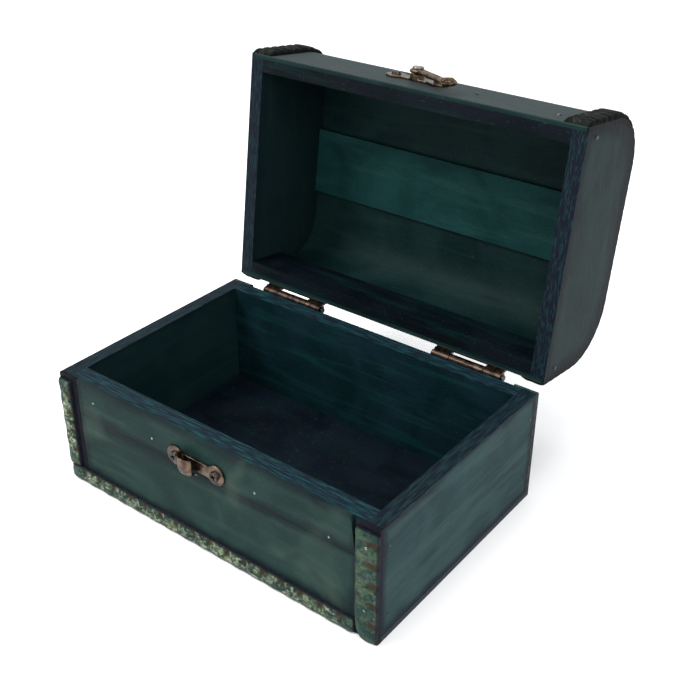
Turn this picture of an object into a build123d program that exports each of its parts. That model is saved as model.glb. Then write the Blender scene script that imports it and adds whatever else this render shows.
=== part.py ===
from build123d import *
import math
import os

os.makedirs("parts", exist_ok=True)

# Sizes of the box as a whole
length = 160.0
depth = 101.7
base_height = 51.15
lid_gap = 0.3
closed_height = 99.2
open_angle = 97.9

# Boards of the base
side_thickness = 6.3
front_thickness = 7.2
back_thickness = 6.5
bottom_thickness = 3.0

# Planks, laths and trim strips on the front
facing_thickness = 1.7
plank_seam_height = 35.2
seam_gap = 0.15
plank_end_gap = 0.3
plank_end_taper = 2.0
left_lath_width = 9.6
right_lath_width = 10.0
bottom_lath_height = 7.0
trim_thickness = 2.1
left_trim_width = 6.7
right_trim_drop = 2.2
right_trim_curl = 4.0
trim_rounding = 0.7
back_trim_width = 10.2
back_trim_thickness = 2.3
trim_end_rounding = 1.5

# Lid boards, bent cover sheet and its trim straps
cover_thickness = 1.8
cover_corner_radius = 22.0
rail_thickness = 5.5
rail_height_share = 0.777
batten_width = 30.0
batten_centre = 2.0
batten_thickness = 2.0
strap_width = 10.5
strap_thickness = 2.2
strap_foot_gap = 0.4

# Brads and their holes
brad_head_radius = 0.95
brad_head_height = 0.5
brad_taper = 25.0
brad_shank_width = 0.8
brad_shank_length = 6.0
wall_brad_shank_length = 12.0
hole_clearance = 0.02
hole_end_clearance = 0.1

# Screws of the latch plates
screw_head_radius = 2.1
screw_head_height = 1.1
screw_taper = 14.0
screw_shank_radius = 0.9
screw_shank_length = 7.0
cross_length = 2.6
cross_width = 0.6
cross_depth = 0.6

# Catch on the base front and plate on the lid front
latch_x = -4.2
plate_height_share = 0.602
plate_thickness = 1.0
plate_screw_spacing = 20.6
plate_end_radius = 4.3
plate_waist = 5.0
moving_gap = 0.35
hood_left = 6.8
hood_right = 1.8
hood_depth = 4.95
hood_wall = 0.8
hood_height = 9.2
hood_bottom_drop = 4.5
hood_rounding = 3.6
hood_edge_rounding = 1.4

# Swing arm and its rivet
arm_thickness = 1.5
arm_eye_radius = 3.6
arm_width = 3.4
arm_end_radius = 3.3
arm_end_thickness = 2.4
arm_end_rounding = 0.9
peg_above_catch = 1.0
arm_rest_angle = 29.0
peg_radius = 1.75
peg_length = 4.0
peg_heel = 2.0
peg_rounding = 0.9
rivet_shank_radius = 1.2
rivet_head_radius = 2.6
rivet_head_height = 1.3
rivet_taper = 30.0
running_clearance = 0.05
boss_radius = 3.0

# Hinges
hinge_spacing_share = 0.58
hinge_length = 32.5
hinge_middle_share = 0.5
pin_behind = 3.25
pin_below = 1.4
knuckle_radius = 2.25
pin_radius = 0.9
pin_head_length = 0.6
pin_head_radius = 1.4
knuckle_gap = 0.3
leaf_thickness = 1.1
leaf_height = 10.5
leaf_web = 0.9
leaf_brad_inset = 4.0
leaf_brad_length = 4.0
leaf_brad_spacing = 22.0

# Values that follow from the sizes above
half_length = length / 2
half_depth = depth / 2
inner_half_length = half_length - side_thickness
lid_rim = base_height + lid_gap
pin_y = half_depth + pin_behind
pin_z = base_height - pin_below + lid_gap / 2
wall_height = base_height - bottom_thickness
facing_face = half_depth + facing_thickness
trim_face = facing_face + trim_thickness
right_lath_left = half_length - right_lath_width
left_lath_right = left_lath_width - half_length
plank_left = left_lath_right + plank_end_gap
plank_right = right_lath_left - plank_end_gap
wall_top = base_height
hinge_spacing = length * hinge_spacing_share
catch_z = plank_seam_height + plate_end_radius
lid_plate_z = lid_rim + (closed_height - cover_corner_radius - lid_rim) * plate_height_share
arm_reach = lid_plate_z - catch_z - peg_above_catch
rail_height = (closed_height - cover_corner_radius - lid_rim) * rail_height_share
cover_inside = half_depth - cover_thickness
inner_top = closed_height - cover_thickness

# The lid is drawn closed and swung back about the hinge pins to where it stands open
open_lid = (
    Location((0, pin_y, pin_z))
    * Location((0, 0, 0), (-open_angle, 0, 0))
    * Location((0, -pin_y, -pin_z))
)


def on_lid(plane):
    """Gives a plane of the closed lid where it is with the lid open."""
    return Plane(open_lid * plane.location)


def board(plane, left, right, bottom, top, thickness):
    """Adds a board whose face lies in the plane, from left to right and bottom to top."""
    with BuildSketch(plane) as outline:
        with Locations(((left + right) / 2, (bottom + top) / 2)):
            Rectangle(right - left, top - bottom)
    extrude(outline.sketch, amount=thickness)


def drill(plane, points, radius, bore_depth):
    """Cuts round holes into the open part, from the plane against its normal."""
    with BuildSketch(plane) as outline:
        with Locations(*points):
            Circle(radius)
    extrude(outline.sketch, amount=-bore_depth, mode=Mode.SUBTRACT)


def brads(plane, points, shank_length):
    """Adds square brads with low round tapered heads that stand on the plane."""
    with BuildSketch(plane) as outline:
        with Locations(*points):
            Circle(brad_head_radius)
    extrude(outline.sketch, amount=brad_head_height, taper=brad_taper)
    with BuildSketch(plane) as outline:
        with Locations(*points):
            Rectangle(brad_shank_width, brad_shank_width)
    extrude(outline.sketch, amount=-shank_length)


def brad_holes(plane, points, shank_length):
    """Cuts the holes that the brads on the plane are driven into."""
    hole_width = brad_shank_width + hole_clearance + hole_clearance
    with BuildSketch(plane) as outline:
        with Locations(*points):
            Rectangle(hole_width, hole_width)
    extrude(outline.sketch, amount=-(shank_length + hole_end_clearance), mode=Mode.SUBTRACT)


def screws(plane, points):
    """Adds screws with low tapered heads and a cross cut into each head."""
    with BuildSketch(plane) as outline:
        with Locations(*points):
            Circle(screw_head_radius)
    extrude(outline.sketch, amount=screw_head_height, taper=screw_taper)
    with BuildSketch(plane) as outline:
        with Locations(*points):
            Circle(screw_shank_radius)
    extrude(outline.sketch, amount=-screw_shank_length)
    with BuildSketch(plane.offset(screw_head_height)) as outline:
        with Locations(*points):
            Rectangle(cross_length, cross_width, rotation=20)
            Rectangle(cross_width, cross_length, rotation=20)
    extrude(outline.sketch, amount=-cross_depth, mode=Mode.SUBTRACT)


def screw_holes(plane, points):
    """Cuts the holes that the screws on the plane are driven into."""
    drill(
        plane, points, screw_shank_radius + hole_clearance, screw_shank_length + hole_end_clearance
    )


def arch(offset_out):
    """Gives the end outline of the lid, moved outwards by the offset from the cover's face."""
    with BuildSketch(Plane.XY, mode=Mode.PRIVATE) as outline:
        top = closed_height + offset_out
        with Locations((0, (lid_rim + top) / 2)):
            Rectangle(depth + offset_out + offset_out, top - lid_rim)
        fillet(outline.vertices().group_by(Axis.Y)[-1], cover_corner_radius + offset_out)
    return outline.sketch


def dog_bone():
    """Gives the outline of a latch plate, wide round ends and a narrow waist."""
    with BuildSketch(Plane.XY, mode=Mode.PRIVATE) as outline:
        with GridLocations(plate_screw_spacing, 0, 2, 1):
            Circle(plate_end_radius)
        Rectangle(plate_screw_spacing, plate_waist)
        inner_corners = outline.vertices().filter_by(
            lambda corner: abs(corner.X) < plate_screw_spacing / 2
        )
        fillet(inner_corners, plate_waist / 2)
    return outline.sketch


# Where the brads and screws are
side_brad_height_shares = (0.815, 0.211, 0.794, 0.262)
plank_brad_shares = (
    (-0.765, 0.505),
    (-0.3475, 0.36),
    (0.3075, 0.30),
    (0.73, 0.15),
)
right_trim_brad_shares = (
    (0.667, 0.839),
    (0.49, 0.587),
    (0.76, 0.295),
)
bottom_trim_brad_shares = (-0.8425, 0.4125)
bottom_trim_brad_rise_share = 0.3
lid_front_brad_shares = (
    (0.3075, 0.75),
    (0.789, 0.48),
)
lid_end_brad_height_share = 0.39

front_joint_y = front_thickness / 2 - half_depth
back_joint_y = half_depth - back_thickness / 2
side_brad_points = tuple(
    (joint_y, base_height * share)
    for joint_y, share in zip(
        (front_joint_y, front_joint_y, back_joint_y, back_joint_y), side_brad_height_shares
    )
)
plank_brad_points = tuple(
    (half_length * along, plank_seam_height + (wall_top - plank_seam_height) * up)
    for along, up in plank_brad_shares
)
right_trim_brad_points = tuple(
    (half_length - side_thickness * inward, base_height * up)
    for inward, up in right_trim_brad_shares
)
bottom_trim_brad_height = (
    bottom_thickness + (bottom_lath_height - bottom_thickness) * bottom_trim_brad_rise_share
)
bottom_trim_brad_points = tuple(
    (half_length * along, bottom_trim_brad_height) for along in bottom_trim_brad_shares
)
lid_front_brad_points = tuple(
    (half_length * along, lid_rim + rail_height * up) for along, up in lid_front_brad_shares
)
lid_end_brad_height = lid_rim + rail_height * lid_end_brad_height_share
lid_end_joint_y = cover_inside - rail_thickness / 2
lid_end_brad_points = (
    (-lid_end_joint_y, lid_end_brad_height),
    (lid_end_joint_y, lid_end_brad_height),
)
catch_screw_points = (
    (latch_x - plate_screw_spacing / 2, catch_z),
    (latch_x + plate_screw_spacing / 2, catch_z),
)
lid_plate_screw_points = (
    (latch_x - plate_screw_spacing / 2, lid_plate_z),
    (latch_x + plate_screw_spacing / 2, lid_plate_z),
)

# Planes that several pieces share
right_side = Plane.YZ.offset(half_length)
left_side = Plane(origin=(-half_length, 0, 0), x_dir=(0, 1, 0), z_dir=(-1, 0, 0))
left_brad_points = tuple((along, -height) for along, height in side_brad_points)
lid_left_brad_points = tuple((along, -height) for along, height in lid_end_brad_points)
wall_front = Plane.XZ.offset(half_depth)
facing_front = Plane.XZ.offset(facing_face)
trim_front = Plane.XZ.offset(trim_face)
wall_back = Plane(origin=(0, half_depth, 0), x_dir=(-1, 0, 0), z_dir=(0, 1, 0))
hinge_leaf_back = wall_back.offset(leaf_thickness)

# Base: bottom and four walls
with BuildPart() as bottom_board:
    board(Plane.XY, -half_length, half_length, -half_depth, half_depth, bottom_thickness)

with BuildPart() as right_wall:
    board(
        Plane.YZ.offset(inner_half_length),
        -half_depth,
        half_depth,
        bottom_thickness,
        wall_top,
        side_thickness,
    )
    brad_holes(right_side, side_brad_points, wall_brad_shank_length)
    brad_holes(trim_front, right_trim_brad_points, brad_shank_length)

with BuildPart() as left_wall:
    board(
        Plane.YZ.offset(-half_length),
        -half_depth,
        half_depth,
        bottom_thickness,
        wall_top,
        side_thickness,
    )
    brad_holes(left_side, left_brad_points, wall_brad_shank_length)

with BuildPart() as front_wall:
    board(
        Plane.XZ.offset(half_depth - front_thickness),
        -inner_half_length,
        inner_half_length,
        bottom_thickness,
        wall_top,
        front_thickness,
    )
    brad_holes(right_side, side_brad_points, wall_brad_shank_length)
    brad_holes(left_side, left_brad_points, wall_brad_shank_length)
    brad_holes(facing_front, plank_brad_points, brad_shank_length)
    brad_holes(trim_front, bottom_trim_brad_points, brad_shank_length)
    screw_holes(facing_front.offset(plate_thickness), catch_screw_points)

hinge_centres = (-hinge_spacing / 2, hinge_spacing / 2)
base_leaf_brad_points = tuple(
    (-centre + side * leaf_brad_spacing / 2, base_height - leaf_height + leaf_brad_inset)
    for centre in hinge_centres
    for side in (-1, 1)
)
lid_leaf_brad_points = tuple(
    (-centre + side * leaf_brad_spacing / 2, lid_rim + leaf_height - leaf_brad_inset)
    for centre in hinge_centres
    for side in (-1, 1)
)

with BuildPart() as back_wall:
    board(
        Plane.XZ.offset(-half_depth),
        -inner_half_length,
        inner_half_length,
        bottom_thickness,
        wall_top,
        back_thickness,
    )
    brad_holes(right_side, side_brad_points, wall_brad_shank_length)
    brad_holes(left_side, left_brad_points, wall_brad_shank_length)
    brad_holes(hinge_leaf_back, base_leaf_brad_points, leaf_brad_length)

with BuildPart() as wall_brads:
    brads(right_side, side_brad_points, wall_brad_shank_length)
    brads(left_side, left_brad_points, wall_brad_shank_length)

# Front facing: two planks between the laths
with BuildPart() as front_plank_upper:
    with BuildSketch(wall_front):
        with BuildLine():
            Polyline(
                (plank_left, plank_seam_height + seam_gap),
                (plank_right, plank_seam_height + seam_gap),
                (plank_right - plank_end_taper, wall_top),
                (plank_left, wall_top),
                close=True,
            )
        make_face()
    extrude(amount=facing_thickness)
    brad_holes(facing_front, plank_brad_points, brad_shank_length)
    screw_holes(facing_front.offset(plate_thickness), catch_screw_points)

with BuildPart() as front_plank_lower:
    board(
        wall_front,
        plank_left,
        plank_right,
        bottom_lath_height,
        plank_seam_height,
        facing_thickness,
    )

with BuildPart() as plank_brads:
    brads(facing_front, plank_brad_points, brad_shank_length)

with BuildPart() as front_lath_left:
    board(wall_front, -half_length, left_lath_right, bottom_lath_height, wall_top, facing_thickness)

with BuildPart() as front_lath_right:
    board(wall_front, right_lath_left, half_length, 0, wall_top, facing_thickness)
    brad_holes(trim_front, right_trim_brad_points, brad_shank_length)

with BuildPart() as front_lath_bottom:
    board(wall_front, -half_length, right_lath_left, 0, bottom_lath_height, facing_thickness)
    brad_holes(trim_front, bottom_trim_brad_points, brad_shank_length)

# Leather-look trim strips on the base
with BuildPart() as front_trim_left:
    board(
        facing_front,
        -half_length,
        left_trim_width - half_length,
        bottom_lath_height,
        wall_top - right_trim_drop,
        trim_thickness,
    )
    fillet(front_trim_left.faces().sort_by(Axis.Y)[0].edges(), trim_rounding)

with BuildPart() as front_trim_bottom:
    board(facing_front, -half_length, right_lath_left, 0, bottom_lath_height, trim_thickness)
    fillet(front_trim_bottom.faces().sort_by(Axis.Y)[0].edges(), trim_rounding)
    brad_holes(trim_front, bottom_trim_brad_points, brad_shank_length)

with BuildPart() as front_trim_right:
    with BuildSketch(facing_front):
        with BuildLine():
            Polyline(
                (right_lath_left + right_trim_curl, 0),
                (half_length, 0),
                (half_length, wall_top - right_trim_drop),
                (right_lath_left, wall_top - right_trim_drop),
                (right_lath_left, bottom_lath_height + right_trim_curl),
            )
            TangentArc(
                (right_lath_left, bottom_lath_height + right_trim_curl),
                (right_lath_left + right_trim_curl, 0),
                tangent=(0, -1),
            )
        make_face()
    extrude(amount=trim_thickness)
    fillet(front_trim_right.faces().sort_by(Axis.Y)[0].edges(), trim_rounding)
    brad_holes(trim_front, right_trim_brad_points, brad_shank_length)

with BuildPart() as trim_tacks:
    brads(trim_front, right_trim_brad_points, brad_shank_length)
    brads(trim_front, bottom_trim_brad_points, brad_shank_length)

with BuildPart() as back_trim_right:
    board(
        wall_back,
        -half_length,
        back_trim_width - half_length,
        0,
        wall_top,
        back_trim_thickness,
    )
    fillet(
        back_trim_right.edges().filter_by(Axis.X).group_by(Axis.Z)[-1].sort_by(Axis.Y)[-1],
        trim_end_rounding,
    )

with BuildPart() as back_trim_left:
    board(
        wall_back,
        half_length - back_trim_width,
        half_length,
        0,
        wall_top,
        back_trim_thickness,
    )
    fillet(
        back_trim_left.edges().filter_by(Axis.X).group_by(Axis.Z)[-1].sort_by(Axis.Y)[-1],
        trim_end_rounding,
    )

# Catch plate with its hood and two screws
catch_face = facing_face + plate_thickness
hood_x_left = latch_x - hood_left
hood_x_right = latch_x + hood_right
hood_front = facing_face + plate_thickness + hood_depth
hood_bottom = catch_z - hood_bottom_drop
hood_plane = Plane.XY.offset(hood_bottom)

with BuildPart() as catch_plate:
    with BuildSketch(facing_front):
        with Locations((latch_x, catch_z)):
            add(dog_bone())
    extrude(amount=plate_thickness)
    with BuildSketch(hood_plane) as hood_outline:
        with Locations(((hood_x_left + hood_x_right) / 2, -(catch_face + hood_front) / 2)):
            Rectangle(hood_x_right - hood_x_left, hood_front - catch_face)
        fillet(
            hood_outline.vertices().group_by(Axis.Y)[0].sort_by(Axis.X)[0],
            hood_rounding,
        )
    extrude(amount=hood_height)
    hood_underside = catch_plate.faces().filter_by(Axis.Z).sort_by(Axis.Z)[0]
    fillet(
        hood_underside.edges().sort_by(Axis.Y)[:2],
        hood_edge_rounding,
    )
    with BuildSketch(hood_plane.offset(hood_wall)) as hood_hollow:
        with Locations(
            (
                (hood_x_left + hood_wall + hood_x_right) / 2,
                -(catch_face + hood_front - hood_wall) / 2,
            )
        ):
            Rectangle(
                hood_x_right - hood_x_left - hood_wall,
                hood_front - hood_wall - catch_face,
            )
        fillet(
            hood_hollow.vertices().group_by(Axis.Y)[0].sort_by(Axis.X)[0],
            hood_rounding - hood_wall,
        )
    extrude(amount=hood_height, mode=Mode.SUBTRACT)
    screw_holes(facing_front.offset(plate_thickness), catch_screw_points)

with BuildPart() as catch_screws:
    screws(facing_front.offset(plate_thickness), catch_screw_points)

# Lid: end boards, rails, bent cover sheet and batten
with BuildPart() as lid_right_end:
    with BuildSketch(on_lid(Plane.YZ.offset(inner_half_length))):
        add(arch(-cover_thickness))
    extrude(amount=side_thickness)
    brad_holes(on_lid(right_side), lid_end_brad_points, wall_brad_shank_length)

with BuildPart() as lid_left_end:
    with BuildSketch(on_lid(Plane.YZ.offset(-half_length))):
        add(arch(-cover_thickness))
    extrude(amount=side_thickness)
    brad_holes(on_lid(left_side), lid_left_brad_points, wall_brad_shank_length)

with BuildPart() as lid_front_rail:
    board(
        on_lid(Plane.XZ.offset(cover_inside - rail_thickness)),
        -inner_half_length,
        inner_half_length,
        lid_rim,
        lid_rim + rail_height,
        rail_thickness,
    )
    brad_holes(on_lid(right_side), lid_end_brad_points, wall_brad_shank_length)
    brad_holes(on_lid(left_side), lid_left_brad_points, wall_brad_shank_length)
    brad_holes(on_lid(wall_front), lid_front_brad_points, brad_shank_length)
    screw_holes(on_lid(wall_front.offset(plate_thickness)), lid_plate_screw_points)

with BuildPart() as lid_back_rail:
    board(
        on_lid(Plane.XZ.offset(-cover_inside)),
        -inner_half_length,
        inner_half_length,
        lid_rim,
        lid_rim + rail_height,
        rail_thickness,
    )
    brad_holes(on_lid(right_side), lid_end_brad_points, wall_brad_shank_length)
    brad_holes(on_lid(left_side), lid_left_brad_points, wall_brad_shank_length)
    brad_holes(on_lid(hinge_leaf_back), lid_leaf_brad_points, leaf_brad_length)

with BuildPart() as lid_cover:
    with BuildSketch(on_lid(Plane.YZ.offset(-half_length))):
        add(arch(0))
        add(arch(-cover_thickness), mode=Mode.SUBTRACT)
    extrude(amount=length)
    brad_holes(on_lid(wall_front), lid_front_brad_points, brad_shank_length)
    screw_holes(on_lid(wall_front.offset(plate_thickness)), lid_plate_screw_points)
    brad_holes(on_lid(hinge_leaf_back), lid_leaf_brad_points, leaf_brad_length)

with BuildPart() as lid_batten:
    board(
        on_lid(Plane.XY.offset(inner_top - batten_thickness)),
        -inner_half_length,
        inner_half_length,
        batten_centre - batten_width / 2,
        batten_centre + batten_width / 2,
        batten_thickness,
    )

with BuildPart() as lid_brads:
    brads(on_lid(right_side), lid_end_brad_points, wall_brad_shank_length)
    brads(on_lid(left_side), lid_left_brad_points, wall_brad_shank_length)
    brads(on_lid(wall_front), lid_front_brad_points, brad_shank_length)

# Trim straps that run over the lid at each end
strap_foot = lid_rim + strap_foot_gap
strap_reach = depth + strap_thickness + strap_thickness

with BuildPart() as lid_strap_right:
    with BuildSketch(on_lid(Plane.YZ.offset(half_length - strap_width))):
        add(arch(strap_thickness))
        add(arch(0), mode=Mode.SUBTRACT)
        with Locations((0, (lid_rim + strap_foot) / 2)):
            Rectangle(strap_reach, strap_foot - lid_rim, mode=Mode.SUBTRACT)
    extrude(amount=strap_width)

with BuildPart() as lid_strap_left:
    with BuildSketch(on_lid(Plane.YZ.offset(-half_length))):
        add(arch(strap_thickness))
        add(arch(0), mode=Mode.SUBTRACT)
        with Locations((0, (lid_rim + strap_foot) / 2)):
            Rectangle(strap_reach, strap_foot - lid_rim, mode=Mode.SUBTRACT)
    extrude(amount=strap_width)

# Latch plate on the lid with its boss, screws and rivet
boss_face = catch_face
arm_inside = catch_face + moving_gap
arm_outside = arm_inside + arm_thickness
rivet_under = arm_outside + moving_gap

with BuildPart() as latch_plate:
    with BuildSketch(on_lid(wall_front)):
        with Locations((latch_x, lid_plate_z)):
            add(dog_bone())
    extrude(amount=plate_thickness)
    with BuildSketch(on_lid(wall_front)):
        with Locations((latch_x, lid_plate_z)):
            Circle(boss_radius)
    extrude(amount=boss_face - half_depth)
    drill(
        on_lid(Plane.XZ.offset(boss_face)),
        ((latch_x, lid_plate_z),),
        rivet_shank_radius + hole_clearance,
        boss_face - half_depth,
    )
    screw_holes(on_lid(wall_front.offset(plate_thickness)), lid_plate_screw_points)

with BuildPart() as latch_screws:
    screws(on_lid(wall_front.offset(plate_thickness)), lid_plate_screw_points)

with BuildPart() as latch_rivet:
    with BuildSketch(on_lid(wall_front)):
        with Locations((latch_x, lid_plate_z)):
            Circle(rivet_shank_radius)
    extrude(amount=rivet_under - half_depth)
    with BuildSketch(on_lid(Plane.XZ.offset(rivet_under))):
        with Locations((latch_x, lid_plate_z)):
            Circle(rivet_head_radius)
    extrude(amount=rivet_head_height, taper=rivet_taper)

# Swing arm, an eye, a flat bar and a peg that turns into the hood
rest_turn = math.radians(arm_rest_angle)
arm_plane = on_lid(
    Plane(
        origin=(latch_x, -arm_inside, lid_plate_z),
        x_dir=(math.cos(rest_turn), 0, -math.sin(rest_turn)),
        z_dir=(0, -1, 0),
    )
)
peg_plane = Plane(
    origin=arm_plane.from_local_coords(Vector(arm_reach, peg_heel, peg_radius)),
    x_dir=arm_plane.x_dir,
    z_dir=-arm_plane.y_dir,
)

with BuildPart() as latch_arm:
    with BuildSketch(arm_plane):
        with Locations((arm_reach, 0)):
            Circle(arm_end_radius)
    extrude(amount=arm_end_thickness)
    arm_end_rim = latch_arm.edges().filter_by(GeomType.CIRCLE).sort_by(Axis.Z)[-1]
    fillet(arm_end_rim, arm_end_rounding)
    with BuildSketch(arm_plane):
        Circle(arm_eye_radius)
        with Locations((arm_reach / 2, 0)):
            Rectangle(arm_reach, arm_width)
    extrude(amount=arm_thickness)
    with BuildSketch(peg_plane):
        Circle(peg_radius)
    extrude(amount=peg_heel + peg_length)
    peg_tip = latch_arm.faces().sort_by(Axis((0, 0, 0), peg_plane.z_dir))[-1]
    fillet(peg_tip.edges(), peg_rounding)
    drill(
        arm_plane.offset(arm_thickness),
        ((0, 0),),
        rivet_shank_radius + running_clearance,
        arm_thickness,
    )

# Hinges: a leaf on the base, a leaf on the lid and a pin for each
middle_length = hinge_length * hinge_middle_share
outer_length = (hinge_length - middle_length) / 2
knuckle_clear = knuckle_radius + knuckle_gap


def knuckle(start, end, bore):
    """Adds a knuckle tube about the pin line from start to end."""
    with BuildSketch(Plane(origin=(start, pin_y, pin_z), x_dir=(0, 1, 0), z_dir=(1, 0, 0))) as outline:
        Circle(knuckle_radius)
    extrude(outline.sketch, amount=end - start)


def bore_pin(start, end, radius):
    """Bores the pin hole along the pin line from start to end."""
    with BuildSketch(Plane(origin=(start, pin_y, pin_z), x_dir=(0, 1, 0), z_dir=(1, 0, 0))) as outline:
        Circle(radius)
    extrude(outline.sketch, amount=end - start, mode=Mode.SUBTRACT)


def base_leaf(centre):
    """Adds the leaf on the base with its middle knuckle."""
    left = centre - hinge_length / 2
    right = centre + hinge_length / 2
    middle_left = centre - middle_length / 2 + knuckle_gap / 2
    middle_right = centre + middle_length / 2 - knuckle_gap / 2
    board(
        wall_back,
        -right,
        -left,
        base_height - leaf_height,
        pin_z - knuckle_clear,
        leaf_thickness,
    )
    board(
        wall_back,
        -middle_right,
        -middle_left,
        pin_z - knuckle_clear,
        pin_z,
        leaf_thickness,
    )
    knuckle(middle_left, middle_right, pin_radius)
    bore_pin(middle_left, middle_right, pin_radius + hole_clearance)
    brad_holes(hinge_leaf_back, base_leaf_brad_points, leaf_brad_length)


def lid_leaf(centre):
    """Adds the leaf on the lid with its two outer knuckles."""
    left = centre - hinge_length / 2
    right = centre + hinge_length / 2
    middle_left = centre - middle_length / 2 - knuckle_gap / 2
    middle_right = centre + middle_length / 2 + knuckle_gap / 2
    board(
        on_lid(wall_back),
        -right,
        -left,
        pin_z + knuckle_clear,
        lid_rim + leaf_height,
        leaf_thickness,
    )
    for start, end in ((left, middle_left), (middle_right, right)):
        board(
            on_lid(wall_back),
            -end,
            -start,
            lid_rim,
            pin_z + knuckle_clear,
            leaf_thickness,
        )
        board(
            on_lid(wall_back.offset(leaf_thickness - leaf_web + knuckle_gap)),
            -end,
            -start,
            pin_z,
            pin_z + knuckle_clear,
            leaf_web,
        )
        knuckle(start, end, pin_radius)
        bore_pin(start, end, pin_radius + running_clearance)
    brad_holes(on_lid(hinge_leaf_back), lid_leaf_brad_points, leaf_brad_length)


def hinge_pin(centre):
    """Adds a pin through the three knuckles with a small head at each end."""
    left = centre - hinge_length / 2 - knuckle_gap
    right = centre + hinge_length / 2 + knuckle_gap
    with BuildSketch(Plane(origin=(left, pin_y, pin_z), x_dir=(0, 1, 0), z_dir=(1, 0, 0))) as outline:
        Circle(pin_radius)
    extrude(outline.sketch, amount=right - left)
    for start, way in ((left, -1), (right, 1)):
        with BuildSketch(Plane(origin=(start, pin_y, pin_z), x_dir=(0, 1, 0), z_dir=(way, 0, 0))) as outline:
            Circle(pin_head_radius)
        extrude(outline.sketch, amount=pin_head_length)


with BuildPart() as hinge_leaf_base_left:
    base_leaf(hinge_centres[0])

with BuildPart() as hinge_leaf_base_right:
    base_leaf(hinge_centres[1])

with BuildPart() as hinge_leaf_lid_left:
    lid_leaf(hinge_centres[0])

with BuildPart() as hinge_leaf_lid_right:
    lid_leaf(hinge_centres[1])

with BuildPart() as hinge_pin_left:
    hinge_pin(hinge_centres[0])

with BuildPart() as hinge_pin_right:
    hinge_pin(hinge_centres[1])

with BuildPart() as hinge_base_brads:
    brads(hinge_leaf_back, base_leaf_brad_points, leaf_brad_length)

with BuildPart() as hinge_lid_brads:
    brads(on_lid(hinge_leaf_back), lid_leaf_brad_points, leaf_brad_length)

pieces = {
    "bottom_board": bottom_board,
    "left_wall": left_wall,
    "right_wall": right_wall,
    "front_wall": front_wall,
    "back_wall": back_wall,
    "wall_brads": wall_brads,
    "front_plank_upper": front_plank_upper,
    "front_plank_lower": front_plank_lower,
    "plank_brads": plank_brads,
    "front_lath_left": front_lath_left,
    "front_lath_right": front_lath_right,
    "front_lath_bottom": front_lath_bottom,
    "front_trim_left": front_trim_left,
    "front_trim_right": front_trim_right,
    "front_trim_bottom": front_trim_bottom,
    "trim_tacks": trim_tacks,
    "back_trim_left": back_trim_left,
    "back_trim_right": back_trim_right,
    "catch_plate": catch_plate,
    "catch_screws": catch_screws,
    "lid_left_end": lid_left_end,
    "lid_right_end": lid_right_end,
    "lid_front_rail": lid_front_rail,
    "lid_back_rail": lid_back_rail,
    "lid_cover": lid_cover,
    "lid_batten": lid_batten,
    "lid_brads": lid_brads,
    "lid_strap_left": lid_strap_left,
    "lid_strap_right": lid_strap_right,
    "latch_plate": latch_plate,
    "latch_screws": latch_screws,
    "latch_rivet": latch_rivet,
    "latch_arm": latch_arm,
    "hinge_leaf_base_left": hinge_leaf_base_left,
    "hinge_leaf_base_right": hinge_leaf_base_right,
    "hinge_leaf_lid_left": hinge_leaf_lid_left,
    "hinge_leaf_lid_right": hinge_leaf_lid_right,
    "hinge_pin_left": hinge_pin_left,
    "hinge_pin_right": hinge_pin_right,
    "hinge_base_brads": hinge_base_brads,
    "hinge_lid_brads": hinge_lid_brads,
}

for name, piece in pieces.items():
    piece.part.label = name
    export_step(piece.part, f"parts/{name}.step")
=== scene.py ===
import math

import bpy
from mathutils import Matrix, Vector


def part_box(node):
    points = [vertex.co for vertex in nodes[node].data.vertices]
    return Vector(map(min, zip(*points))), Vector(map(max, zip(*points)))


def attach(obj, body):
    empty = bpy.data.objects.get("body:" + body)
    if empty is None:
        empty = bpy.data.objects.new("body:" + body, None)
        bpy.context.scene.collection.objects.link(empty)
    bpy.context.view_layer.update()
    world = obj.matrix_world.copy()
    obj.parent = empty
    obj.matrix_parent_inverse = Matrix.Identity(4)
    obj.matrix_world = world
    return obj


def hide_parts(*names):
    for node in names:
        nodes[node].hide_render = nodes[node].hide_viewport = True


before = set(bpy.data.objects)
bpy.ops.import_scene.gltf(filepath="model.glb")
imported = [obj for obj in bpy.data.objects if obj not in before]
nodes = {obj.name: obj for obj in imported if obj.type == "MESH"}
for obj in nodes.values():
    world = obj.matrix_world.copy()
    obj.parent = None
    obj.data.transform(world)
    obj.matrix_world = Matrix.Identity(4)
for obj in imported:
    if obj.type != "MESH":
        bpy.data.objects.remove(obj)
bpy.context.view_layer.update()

# Bottom board and the four walls of the base.
# Thin softwood boards, stained a dark slate blue by hand, glued and bradded at the corners.
# The stain is thin along the arrises and streaked along the grain.


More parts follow.
